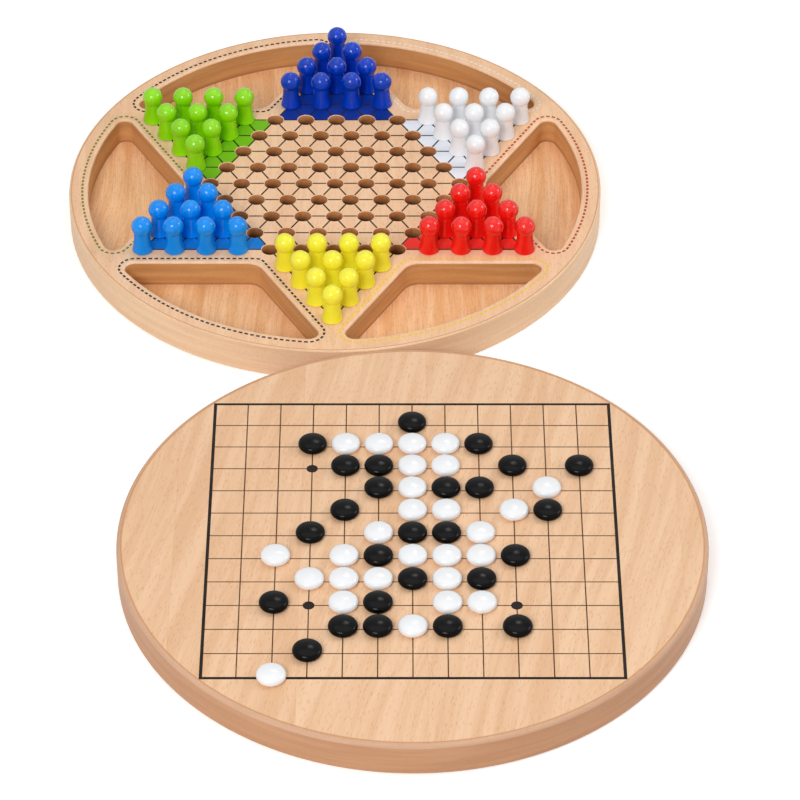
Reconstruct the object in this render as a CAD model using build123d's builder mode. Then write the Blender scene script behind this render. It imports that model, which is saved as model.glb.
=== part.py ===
"""A game compendium: two round wooden boards of one size, side by side on a table.

The rear one is a star tray with drilled peg holes, six counter wells and sixty turned pegs.
The front one is a board for five in a row, with black and white stones on its crossings.
All sizes are in millimetres. The origin is on the table, midway between the two boards.
"""

from build123d import *
import math
import os

os.makedirs("parts", exist_ok=True)

# The two round boards
disc_diameter = 290.0
disc_gap = 0.5  # between the two rims, where they lie side by side
tray_shift = 41.6  # how far the tray lies to the left of the five-in-a-row board

# Star tray: a top plate over a thin base plate, which is the floor of the wells
top_plate_thickness = 15.0
base_plate_thickness = 4.0
tray_edge_round = 1.0

# Peg holes, on a six-pointed star of triangular lattice points
hole_pitch = 17.0
hole_diameter = 9.0
hole_depth = 10.0
arm_rows = 4  # rows of holes in each point of the star

# Counter wells, between the points of the star
well_web = 11.1  # from the outermost line of holes to a well's straight side
well_bridge = 6.0  # least wood between two wells, where a point of the star meets the rim
well_rim_width = 10.4  # from the edge of the tray to a well's curved side
well_inner_corner = 10.0
well_outer_corner = 5.0
well_edge_round = 1.2

# Turned pegs
head_diameter = 11.0
peg_height = 21.0  # above the tray's top face
neck_diameter = 8.5
skirt_overhang = 1.1  # past the edge of the hole, all round, so that the peg stands on the tray
skirt_edge_round = 0.8
skirt_sweep = 45.0  # radius of the hollow side between skirt and neck
spigot_clearance = 0.3  # all round, in the hole
spigot_length = 9.0

# Board for five in a row
board_thickness = 19.0
board_edge_round = 2.0
grid_side = 200.0
grid_lines = 13

# Stones
stone_diameter = 14.5
stone_height = 5.2
stone_edge_radius = 2.2

# The colours of the star's points, anticlockwise from the one at the right
arm_colours = ("white", "navy", "green", "sky", "yellow", "red")

# Crossings that hold a stone: line of the board, from the rear, to columns, from the left
black_stones = {
    1: (6,),
    2: (3, 8),
    3: (4, 5, 9, 11),
    4: (5, 7, 8),
    5: (4, 10),
    6: (3, 6, 7),
    7: (5, 9),
    8: (6, 8),
    9: (2, 5),
    10: (4, 5, 7, 9),
    11: (3,),
}
white_stones = {
    2: (4, 5, 6, 7),
    3: (6, 7),
    4: (6, 10),
    5: (6, 7, 9),
    6: (5, 8),
    7: (2, 4, 6, 7, 8),
    8: (3, 4, 5, 7),
    9: (4, 7, 8),
    10: (6,),
    12: (2,),
}

disc_radius = disc_diameter / 2
board_spacing = math.sqrt((disc_diameter + disc_gap) ** 2 - tray_shift**2)
tray_x, tray_y = -tray_shift / 2, board_spacing / 2
board_x, board_y = tray_shift / 2, -board_spacing / 2
tray_top = base_plate_thickness + top_plate_thickness
row_step = hole_pitch * math.sqrt(3) / 2


def on_tray(height):
    """The plane at this height above the table, centred on the star tray."""
    return Plane(origin=(tray_x, tray_y, height))


def on_board(height):
    """The plane at this height above the table, centred on the five-in-a-row board."""
    return Plane(origin=(board_x, board_y, height))


def field_holes():
    """Holes of the six-sided field in the middle of the star, as (x, y) from its centre."""
    points = []
    for row in range(-arm_rows, arm_rows + 1):
        count = 2 * arm_rows + 1 - abs(row)
        for place in range(count):
            points.append(((place - (count - 1) / 2) * hole_pitch, row * row_step))
    return points


def arm_row_holes(arm, row):
    """Holes of one row of one point of the star. Row 1 is the tip, with one hole."""
    angle = math.radians(30 + 60 * arm)
    outward = (2 * arm_rows + 1 - row) * row_step
    points = []
    for place in range(row):
        across = (place - (row - 1) / 2) * hole_pitch
        x = outward * math.cos(angle) - across * math.sin(angle)
        y = outward * math.sin(angle) + across * math.cos(angle)
        points.append((x, y))
    return points


# Star tray, top plate: the wells are what a disc leaves outside a star of two triangles
with BuildPart() as star_tray_top:
    with BuildSketch(on_tray(base_plate_thickness)):
        Circle(disc_radius)
    extrude(amount=top_plate_thickness)
    with BuildSketch(on_tray(tray_top)) as well_outlines:
        Circle(disc_radius - well_rim_width)
        for turn in (30, 90):
            RegularPolygon(
                arm_rows * row_step + well_web,
                side_count=3,
                major_radius=False,
                rotation=turn,
                mode=Mode.SUBTRACT,
            )
        with PolarLocations(0, 3, start_angle=30, angular_range=180):
            Rectangle(disc_diameter, well_bridge, mode=Mode.SUBTRACT)
        fillet(well_outlines.vertices().group_by(SortBy.DISTANCE)[0], well_inner_corner)
        # Shrunk and grown again, the outlines come back with their sharp corners rounded
        offset(amount=-well_outer_corner, mode=Mode.REPLACE)
        offset(amount=well_outer_corner, mode=Mode.REPLACE)
    extrude(amount=-top_plate_thickness, mode=Mode.SUBTRACT)
    top_edges = star_tray_top.edges().group_by(Axis.Z)[-1].sort_by(SortBy.LENGTH)
    fillet(top_edges[-1], tray_edge_round)
    top_face = star_tray_top.faces().sort_by(Axis.Z)[-1]
    fillet([edge for wire in top_face.inner_wires() for edge in wire.edges()], well_edge_round)
    hole_points = field_holes()
    for arm in range(6):
        for row in range(1, arm_rows + 1):
            hole_points += arm_row_holes(arm, row)
    with BuildSketch(on_tray(tray_top)):
        with Locations(*hole_points):
            Circle(hole_diameter / 2)
    extrude(amount=-hole_depth, mode=Mode.SUBTRACT)
star_tray_top.part.label = "star_tray_top"
export_step(star_tray_top.part, "parts/star_tray_top.step")

# Star tray, base plate
with BuildPart() as star_tray_base:
    with BuildSketch(on_tray(0)):
        Circle(disc_radius)
    extrude(amount=base_plate_thickness)
    fillet(star_tray_base.edges().sort_by(Axis.Z)[0], tray_edge_round)
star_tray_base.part.label = "star_tray_base"
export_step(star_tray_base.part, "parts/star_tray_base.step")

# Board for five in a row
with BuildPart() as five_row_board:
    with BuildSketch(on_board(0)):
        Circle(disc_radius)
    extrude(amount=board_thickness)
    fillet(five_row_board.edges().filter_by(GeomType.CIRCLE), board_edge_round)
five_row_board.part.label = "five_row_board"
export_step(five_row_board.part, "parts/five_row_board.step")

# One peg, turned about Z, with its skirt on the plane z = 0 and its spigot below
head_radius = head_diameter / 2
neck_radius = neck_diameter / 2
skirt_radius = hole_diameter / 2 + skirt_overhang
spigot_radius = hole_diameter / 2 - spigot_clearance
head_centre = peg_height - head_radius
neck_height = head_centre - math.sqrt(head_radius**2 - neck_radius**2)
with BuildPart() as peg:
    with BuildSketch(Plane.XZ):
        with BuildLine():
            Polyline(
                (0, peg_height),
                (0, -spigot_length),
                (spigot_radius, -spigot_length),
                (spigot_radius, 0),
                (skirt_radius - skirt_edge_round, 0),
            )
            RadiusArc(
                (skirt_radius - skirt_edge_round, 0),
                (skirt_radius, skirt_edge_round),
                -skirt_edge_round,
            )
            RadiusArc(
                (skirt_radius, skirt_edge_round),
                (neck_radius, neck_height),
                skirt_sweep,
            )
            ThreePointArc(
                (neck_radius, neck_height),
                (head_radius, head_centre),
                (0, peg_height),
            )
        make_face()
    revolve(axis=Axis.Z)

# One stone, turned about Z, with its flat underside on the plane z = 0
stone_flat_radius = stone_diameter / 2 - stone_edge_radius
dome_radius = (
    stone_flat_radius**2 + (stone_height - stone_edge_radius) ** 2 - stone_edge_radius**2
) / (2 * (stone_height - 2 * stone_edge_radius))
dome_tilt = math.asin(stone_flat_radius / (dome_radius - stone_edge_radius))
dome_end = (
    dome_radius * math.sin(dome_tilt),
    stone_height - dome_radius + dome_radius * math.cos(dome_tilt),
)
dome_middle = (
    dome_radius * math.sin(dome_tilt / 2),
    stone_height - dome_radius + dome_radius * math.cos(dome_tilt / 2),
)
with BuildPart() as stone:
    with BuildSketch(Plane.XZ):
        with BuildLine():
            Polyline((0, stone_height), (0, 0), (stone_flat_radius, 0))
            ThreePointArc(
                (stone_flat_radius, 0),
                (stone_diameter / 2, stone_edge_radius),
                dome_end,
            )
            ThreePointArc(dome_end, dome_middle, (0, stone_height))
        make_face()
    revolve(axis=Axis.Z)

# Pegs, one node for each row of each point of the star
for arm, colour in enumerate(arm_colours):
    for row in range(1, arm_rows + 1):
        places = [(tray_x + x, tray_y + y, tray_top) for x, y in arm_row_holes(arm, row)]
        with BuildPart() as peg_row:
            with Locations(*places):
                add(peg.part)
        peg_row.part.label = f"{colour}_pegs_row_{row}"
        export_step(peg_row.part, f"parts/{peg_row.part.label}.step")

# Stones, one node for each colour on each line of the board
line_spacing = grid_side / (grid_lines - 1)
for colour, stones in (("black", black_stones), ("white", white_stones)):
    for line, columns in stones.items():
        places = [
            (
                board_x + column * line_spacing - grid_side / 2,
                board_y + grid_side / 2 - line * line_spacing,
                board_thickness,
            )
            for column in columns
        ]
        with BuildPart() as stone_row:
            with Locations(*places):
                add(stone.part)
        stone_row.part.label = f"{colour}_stones_line_{line}"
        export_step(stone_row.part, f"parts/{stone_row.part.label}.step")
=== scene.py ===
"""The looks of a round wooden game set: a star tray with pegs and a grid board with stones.

Every surface is worked out in millimetres from the sizes that the classes below hold, placed in
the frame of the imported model, and turned into metres when its mesh is made.
"""

import logging
import math
from collections.abc import Callable, Iterator, Sequence
from dataclasses import dataclass
from enum import Enum, IntEnum

import bpy
import numpy as np
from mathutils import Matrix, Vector
from mathutils.geometry import delaunay_2d_cdt
from numpy.typing import NDArray


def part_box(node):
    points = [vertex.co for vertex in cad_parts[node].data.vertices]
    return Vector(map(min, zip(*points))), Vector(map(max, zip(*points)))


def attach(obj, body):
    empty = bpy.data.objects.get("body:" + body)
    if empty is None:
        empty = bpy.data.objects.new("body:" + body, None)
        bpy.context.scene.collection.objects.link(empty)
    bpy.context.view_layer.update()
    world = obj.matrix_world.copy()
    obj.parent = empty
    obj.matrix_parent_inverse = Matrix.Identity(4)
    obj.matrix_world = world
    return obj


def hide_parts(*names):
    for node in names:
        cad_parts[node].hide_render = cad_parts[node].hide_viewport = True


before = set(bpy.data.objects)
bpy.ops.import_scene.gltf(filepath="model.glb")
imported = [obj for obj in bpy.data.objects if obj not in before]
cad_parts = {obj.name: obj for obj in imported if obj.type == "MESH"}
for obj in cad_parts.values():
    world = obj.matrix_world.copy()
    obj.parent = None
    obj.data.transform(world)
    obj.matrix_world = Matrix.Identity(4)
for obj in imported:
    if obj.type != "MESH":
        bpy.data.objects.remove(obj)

Floats = NDArray[np.float64]
Whole = NDArray[np.int64]
Flags = NDArray[np.bool_]
Pair = tuple[float, float]
Triple = tuple[float, float, float]
Colour = Triple
Run = tuple[Floats, Floats]  # one stretch of a profile: its points and its outward normals
Socket = bpy.types.NodeSocket
Material = bpy.types.Material

MM = 0.001  # metres in a millimetre
WELD = 0.002  # mm, corners closer than this become one
WELD_SHIFT = 0.37  # of a weld, so that no round measure lies on the border of two weld cells
CUT_NEAR = 1e-5  # mm, closer than this a triangulation takes two corners as one
FULL_TURN = 2 * math.pi
SIXTH_TURN = math.radians(60)
UP, DOWN = np.array([0.0, 0.0, 1.0]), np.array([0.0, 0.0, -1.0])

log = logging.getLogger("game_set")


class PegColour(Enum):
    """The colours of the star's points, anticlockwise from the one at the rear right."""

    WHITE = "white"
    NAVY = "navy"
    GREEN = "green"
    SKY = "sky"
    YELLOW = "yellow"
    RED = "red"


class StoneColour(Enum):
    """The two sides of the five-in-a-row game."""

    BLACK = "black"
    WHITE = "white"


class PlateFinish(IntEnum):
    """What the parts of the tray's drilled plate wear."""

    TOP = 0
    RIM = 1
    WELL_WALL = 2
    HOLE = 3
    WELL_ROUNDING = 4


class BaseFinish(IntEnum):
    """What the parts of the tray's base plate wear."""

    FLOOR = 0
    RIM = 1
    UNDERSIDE = 2


class BoardFinish(IntEnum):
    """What the parts of the five-in-a-row board wear."""

    FACE = 0
    RIM = 1
    ROUNDING = 2


class GridInk(IntEnum):
    """The inks of the board's grid."""

    LINE = 0
    BORDER = 1


# Meshes


def halved(numbers: Whole) -> Whole:
    """Cuts each cell of a grid of points into two triangles, along one diagonal.

    Args:
        numbers: Point numbers, with rows and columns on the last two axes.

    Returns:
        Six point numbers for each cell, three for either triangle.
    """
    first, second = numbers[..., :-1, :-1], numbers[..., :-1, 1:]
    third, fourth = numbers[..., 1:, 1:], numbers[..., 1:, :-1]
    return np.stack([first, second, third, first, third, fourth], axis=-1)


class Shell:
    """Gathers the patches of one piece, in millimetres, and welds them into one closed mesh."""

    def __init__(self) -> None:
        """Starts with no patches."""
        self._points: list[Floats] = []
        self._normals: list[Floats] = []
        self._triangles: list[Whole] = []
        self._finishes: list[Whole] = []
        self._count = 0

    def add(
        self, points: Floats, normals: Floats, triangles: Whole, finish: int | Whole = 0
    ) -> None:
        """Adds loose triangles.

        Args:
            points: Corners, with x, y, z on the last axis.
            normals: Outward directions at the corners, or one that all of them share.
            triangles: Corner numbers, three for each triangle, counted in this patch alone.
            finish: Which of the piece's finishes the patch wears, or one number for each triangle.
        """
        points = points.reshape(-1, 3)
        self._points.append(points)
        self._normals.append(np.broadcast_to(normals.reshape(-1, 3), points.shape))
        self._triangles.append(triangles.reshape(-1, 3) + self._count)
        self._finishes.append(np.full(triangles.size // 3, finish, dtype=np.int64))
        self._count += len(points)

    def add_grid(self, points: Floats, normals: Floats, finish: int | Whole = 0) -> None:
        """Adds surfaces that are given as grids; each cell of a grid becomes two triangles.

        Args:
            points: Corners, with the axes (any surfaces, rows, columns, xyz).
            normals: Outward directions at the corners, or of one surface that all are turned like.
            finish: Which of the piece's finishes the surfaces wear, or one number for each
                triangle.
        """
        rows, columns = points.shape[-3:-1]
        numbers = np.arange(points.size // 3).reshape(-1, rows, columns)
        self.add(points, np.broadcast_to(normals, points.shape), halved(numbers), finish)

    def build(self, name: str, materials: Sequence[Material]) -> bpy.types.Object:
        """Welds the patches and makes the object, at the origin, in metres.

        Corners within one weld cell become one. A triangle is turned so that its own normal, the
        cross product of two sides, points the way of its corners' normals, and one that has lost
        its area is dropped. The corners keep the exact normals of their patches.

        Args:
            name: The piece's name.
            materials: The piece's finishes, in the order that the patches number them.

        Returns:
            The new object, linked to the scene.
        """
        points, normals = np.concatenate(self._points), np.concatenate(self._normals)
        triangles, finishes = np.concatenate(self._triangles), np.concatenate(self._finishes)
        corners = points[triangles]
        facing = np.cross(corners[:, 1] - corners[:, 0], corners[:, 2] - corners[:, 0])
        turned_in = np.einsum("ij,ij->i", facing, normals[triangles].sum(axis=1)) < 0
        triangles[turned_in] = triangles[turned_in][:, ::-1]

        cells = np.floor(points / WELD + WELD_SHIFT).astype(np.int64)
        _, first, welded = np.unique(cells, axis=0, return_index=True, return_inverse=True)
        joined = welded.reshape(-1)[triangles]
        whole = (joined != np.roll(joined, 1, axis=1)).all(axis=1)
        triangles, joined, finishes = triangles[whole], joined[whole], finishes[whole]

        mesh = bpy.data.meshes.new(name)
        mesh.vertices.add(len(first))
        mesh.vertices.foreach_set("co", (points[first] * MM).ravel())
        mesh.loops.add(joined.size)
        mesh.loops.foreach_set("vertex_index", joined.ravel())
        mesh.polygons.add(len(joined))
        mesh.polygons.foreach_set("loop_start", np.arange(0, joined.size, 3))
        mesh.polygons.foreach_set("material_index", finishes)
        mesh.polygons.foreach_set("use_smooth", np.ones(len(joined), dtype=bool))
        for material in materials:
            mesh.materials.append(material)
        mesh.update(calc_edges=True)
        mesh.normals_split_custom_set(normals[triangles].reshape(-1, 3))
        return linked(name, mesh)


def linked(name: str, data: bpy.types.ID) -> bpy.types.Object:
    """Makes an object of a mesh, a lamp or a camera.

    Args:
        name: The object's name.
        data: What it is made of.

    Returns:
        The new object, linked to the scene.
    """
    made = bpy.data.objects.new(name, data)
    bpy.context.scene.collection.objects.link(made)
    return made


def straight(start: Pair, end: Pair) -> Run:
    """A straight run of a profile in the plane of distance out and height.

    Args:
        start: Distance out and height at the start.
        end: The same at the end. The outside lies to the right of the way from start to end.

    Returns:
        The run's points and its outward normals.
    """
    run = np.array([start, end], dtype=float)
    way = run[1] - run[0]
    outward = np.array([way[1], -way[0]]) / np.linalg.norm(way)
    return run, np.broadcast_to(outward, run.shape)


def bend(
    centre: Pair, radius: float, start: float, end: float, steps: int, out: float = 1.0
) -> Run:
    """A circular run of a profile: centre plus radius times (cosine, sine) of an even angle.

    Args:
        centre: Distance out and height of the arc's centre.
        radius: The arc's radius.
        start: Angle of its start from the outward direction, in degrees.
        end: Angle of its end.
        steps: Number of chords.
        out: 1 where the arc bulges, -1 where it is hollow.

    Returns:
        The run's points and its outward normals.
    """
    around = circle(np.radians(np.linspace(start, end, steps + 1)))
    return np.array(centre) + radius * around, out * around


def circle(angle: Floats | float) -> Floats:
    """Unit vectors at these angles: (cosine, sine), on a new last axis."""
    return np.stack([np.cos(angle), np.sin(angle)], axis=-1)


def ring(radius: float, segments: int, centre: Floats | Pair = (0.0, 0.0)) -> Floats:
    """A circle's points: centre plus radius times (cosine, sine), on the angles of turned."""
    return circle(np.linspace(0, FULL_TURN, segments + 1)[:-1]) * radius + centre


def swung(plane: Floats, angle: Floats) -> Floats:
    """Carries a profile round the axis: (d cos a, d sin a, h) for each of its rows (d, h).

    Args:
        plane: Points of the profile, or directions in its plane.
        angle: The angles to carry them to.

    Returns:
        Points or directions with the axes (profile, angles, xyz).
    """
    out, up = plane[:, :1], plane[:, 1:]
    parts = np.broadcast_arrays(out * np.cos(angle), out * np.sin(angle), up)
    return np.stack(parts, axis=-1)


def turned(
    shell: Shell,
    runs: Sequence[Run],
    places: Floats,
    segments: int,
    finish: int = 0,
    lean: Floats | None = None,
) -> None:
    """Turns a profile about upright axes.

    Args:
        shell: Takes the surfaces.
        runs: Runs of the profile. Between two runs the surface has a sharp edge.
        places: Foot of each axis, one row of x, y, z for each copy.
        segments: Number of facets round the axis.
        finish: Which of the piece's finishes the surface wears.
        lean: A turning matrix for each copy, about its foot, or None to stand upright.
    """
    angle = np.linspace(0, FULL_TURN, segments + 1)
    angle[-1] = 0.0
    for run in runs:
        points, normals = (swung(plane, angle) for plane in run)
        if lean is not None:
            points, normals = (
                np.einsum("kij,uvj->kuvi", lean, patch) for patch in (points, normals)
            )
        shell.add_grid(points + places[:, None, None, :], normals, finish)


def leaning(angles: Floats) -> Floats:
    """Turning matrices of small leans: the turn about x times the turn about y.

    Args:
        angles: A row of two angles in radians, about x and about y, for each copy.

    Returns:
        One matrix for each row.
    """
    (cos_x, cos_y), (sin_x, sin_y) = np.cos(angles).T, np.sin(angles).T
    one, none = np.ones(len(angles)), np.zeros(len(angles))
    about_x = np.stack([one, none, none, none, cos_x, -sin_x, none, sin_x, cos_x], axis=-1)
    about_y = np.stack([cos_y, none, sin_y, none, one, none, -sin_y, none, cos_y], axis=-1)
    return about_x.reshape(-1, 3, 3) @ about_y.reshape(-1, 3, 3)


def looped(outline: Floats) -> Floats:
    """An outline with its first row once more at its end."""
    return np.vstack([outline, outline[:1]])


def lifted(points: Floats, height: float) -> Floats:
    """Flat points, given by x and y, at a height."""
    return np.column_stack([points, np.full(len(points), height)])


def inside(points: Floats, outline: Floats) -> Flags:
    """Which points lie inside a convex outline: to the left of each of its sides.

    Args:
        points: Points, one row of x and y each.
        outline: Corners of the outline, anticlockwise.

    Returns:
        True for each point inside.
    """
    way = np.roll(outline, -1, axis=0) - outline
    apart = points[:, None, :] - outline[None]
    left = way[None, :, 0] * apart[..., 1] - way[None, :, 1] * apart[..., 0]
    return (left > 0).all(axis=1)


def clear_of(points: Floats, centres: Floats, reach: float) -> Flags:
    """Which points lie further than reach from every one of these centres."""
    apart = np.linalg.norm(points[:, None, :] - centres[None], axis=-1)
    return (apart > reach).all(axis=1)


def flat_region(rings: Sequence[Floats], keep: Callable[[Floats], Flags]) -> tuple[Floats, Whole]:
    """Fills a flat region by a constrained Delaunay triangulation of its closed outlines.

    Args:
        rings: Closed outlines, each with x and y on its last axis. They may cross.
        keep: Says of an array of triangle centres which of them lie in the region.

    Returns:
        The region's points and its triangles, as rows of three point numbers.
    """
    given = np.concatenate(rings)
    edges, start = [], 0
    for outline in rings:
        numbers = np.arange(start, start + len(outline))
        edges.append(np.stack([numbers, np.roll(numbers, -1)], axis=-1))
        start += len(outline)
    found, _, cells, sources, *_ = delaunay_2d_cdt(
        [Vector(point) for point in given], np.concatenate(edges).tolist(), [], 0, CUT_NEAR, True
    )
    points = np.array([vertex[:] for vertex in found], dtype=float)
    source = np.array([numbers[0] if numbers else -1 for numbers in sources])
    points[source >= 0] = given[source[source >= 0]]
    triangles = np.array(cells, dtype=np.int64)
    return points, triangles[keep(points[triangles].mean(axis=1))]


def strips(paths: Floats, sideways: Floats, width: float) -> tuple[Floats, Whole]:
    """Flat strips of one width: each path shifted half a width to either side.

    Args:
        paths: Points of the middle lines, with the axes (strips, points, xy).
        sideways: Unit directions across them, of the same shape.
        width: The strips' width.

    Returns:
        The strips' points and their triangles.
    """
    points = np.stack([paths - sideways * width / 2, paths + sideways * width / 2], axis=2)
    numbers = np.arange(points.size // 2).reshape(points.shape[:3])
    return points.reshape(-1, 2), halved(numbers).reshape(-1, 3)


def film(
    shell: Shell,
    points: Floats,
    triangles: Whole,
    low: float,
    high: float,
    finish: int | Whole = 0,
) -> None:
    """Gives a flat region its thickness.

    The region becomes a top and an underside, and a wall stands on every edge that only one of
    its triangles has. Clockwise triangles, where the cross product of two sides is negative, are
    turned first, so that each wall faces to the right of its edge.

    Args:
        shell: Takes the surfaces.
        points: The region's points, x and y.
        triangles: The region's triangles.
        low: Height of the underside.
        high: Height of the top.
        finish: Which of the piece's finishes the film wears, or one number for each triangle.
    """
    corners = points[triangles]
    first, second = corners[:, 1] - corners[:, 0], corners[:, 2] - corners[:, 0]
    clockwise = first[:, 0] * second[:, 1] - first[:, 1] * second[:, 0] < 0
    triangles = np.where(clockwise[:, None], triangles[:, ::-1], triangles)
    finishes = np.full(len(triangles), finish)
    shell.add(lifted(points, high), UP, triangles, finishes)
    shell.add(lifted(points, low), DOWN, triangles, finishes)

    edges = np.concatenate([triangles[:, [0, 1]], triangles[:, [1, 2]], triangles[:, [2, 0]]])
    _, which, times = np.unique(
        np.sort(edges, axis=1), axis=0, return_inverse=True, return_counts=True
    )
    outer = times[which.reshape(-1)] == 1
    feet = points[edges[outer]]
    way = feet[:, 1] - feet[:, 0]
    outward = lifted(np.stack([way[:, 1], -way[:, 0]], axis=-1), 0.0)
    outward /= np.linalg.norm(outward, axis=-1, keepdims=True)
    wall = np.empty((len(feet), 2, 2, 3))
    wall[..., :2] = feet[:, None]
    wall[..., 2] = np.array([low, high])[:, None]
    shell.add_grid(wall, outward[:, None, None, :], np.repeat(np.tile(finishes, 3)[outer], 2))


# Finishes


class NodeTree:
    """A shader tree, with one short call for each kind of node that the set uses."""

    def __init__(self, tree: bpy.types.NodeTree) -> None:
        """Works on this tree."""
        self._tree = tree

    def put(self, socket: Socket, value: object) -> None:
        """Links a socket to another, or sets it to a number, a vector or a colour.

        Args:
            socket: The socket that takes it.
            value: Another socket, or a value.
        """
        if isinstance(value, Socket):
            self._tree.links.new(value, socket)
        elif isinstance(value, tuple) and socket.type == "RGBA":
            socket.default_value = (*value, 1.0)
        else:
            socket.default_value = value

    def add(
        self, kind: str, inputs: dict[str | int, object] | None = None, **settings: str
    ) -> bpy.types.bpy_prop_collection:
        """Adds a node.

        Args:
            kind: The node's type, without the ShaderNode that it begins with.
            inputs: What goes into its inputs, by their names or numbers.
            settings: Its choices, such as its operation, which are made first.

        Returns:
            The node's outputs.
        """
        node = self._tree.nodes.new(f"ShaderNode{kind}")
        for name, choice in settings.items():
            setattr(node, name, choice)
        for key, value in (inputs or {}).items():
            self.put(node.inputs[key], value)
        return node.outputs

    def math(self, operation: str, *values: object) -> Socket:
        """A Math node on up to three values."""
        return self.add("Math", dict(enumerate(values)), operation=operation)[0]

    def vector(self, operation: str, *values: object) -> Socket:
        """A Vector Math node; its outcome is a number for LENGTH, and otherwise a vector."""
        outputs = self.add("VectorMath", dict(enumerate(values)), operation=operation)
        return outputs["Value" if operation == "LENGTH" else "Vector"]

    def scaled(self, vector: object, factor: float) -> Socket:
        """A vector times a number."""
        return self.add("VectorMath", {0: vector, "Scale": factor}, operation="SCALE")["Vector"]

    def turned(self, vector: object, degrees: float) -> Socket:
        """A vector turned about z, anticlockwise."""
        inputs = {"Vector": vector, "Angle": math.radians(degrees)}
        return self.add("VectorRotate", inputs, rotation_type="Z_AXIS")["Vector"]

    def apart(self, vector: object) -> Iterator[Socket]:
        """The x, y and z of a vector."""
        return iter(self.add("SeparateXYZ", {0: vector}))

    def band(
        self,
        value: object,
        low: float,
        high: float,
        start: float = 0.0,
        end: float = 1.0,
        way: str = "SMOOTHSTEP",
    ) -> Socket:
        """Carries low to high over to start to end, by default smoothly at both ends."""
        inputs = dict(enumerate((value, low, high, start, end)))
        return self.add("MapRange", inputs, interpolation_type=way)[0]

    def noise(self, place: object, detail: float = 2.0, roughness: float = 0.5) -> Socket:
        """Soft noise with features about 1 unit of place apart, between 0 and 1."""
        inputs = {"Vector": place, "Scale": 1.0, "Detail": detail, "Roughness": roughness}
        return self.add("TexNoise", inputs)["Fac"]

    def mix(self, share: object, first: object, second: object, blend: str = "MIX") -> Socket:
        """Mixes two colours; inputs 6 and 7 and output 2 are a Mix node's sockets for them."""
        inputs = {0: share, 6: first, 7: second}
        return self.add("Mix", inputs, data_type="RGBA", blend_type=blend)[2]


class Surface(NodeTree):
    """The tree of a material that has a Principled shader on its output."""

    def __init__(self, name: str) -> None:
        """Makes a material of this name. Its place is the point on the piece, in millimetres."""
        self.material = bpy.data.materials.new(name)
        self.material.use_nodes = True
        super().__init__(self.material.node_tree)
        self._shader = self.material.node_tree.nodes["Principled BSDF"]
        self.place = self.scaled(self.add("TexCoord")["Object"], 1 / MM)

    def dress(self, sockets: dict[str, object]) -> None:
        """Sets or links sockets of the shader."""
        for name, value in sockets.items():
            self.put(self._shader.inputs[name], value)

    def coat(self, colour: object, roughness: object, specular: float) -> None:
        """Sets or links the three sockets that no surface leaves as they are."""
        self.dress(
            {"Base Color": colour, "Roughness": roughness, "Specular IOR Level": specular}
        )

    def bump(self, height: object, depth: float) -> None:
        """Raises the surface by height times depth, in millimetres, in its shading."""
        inputs = {"Distance": depth * MM, "Height": height}
        self.dress({"Normal": self.add("Bump", inputs)["Normal"]})


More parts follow.
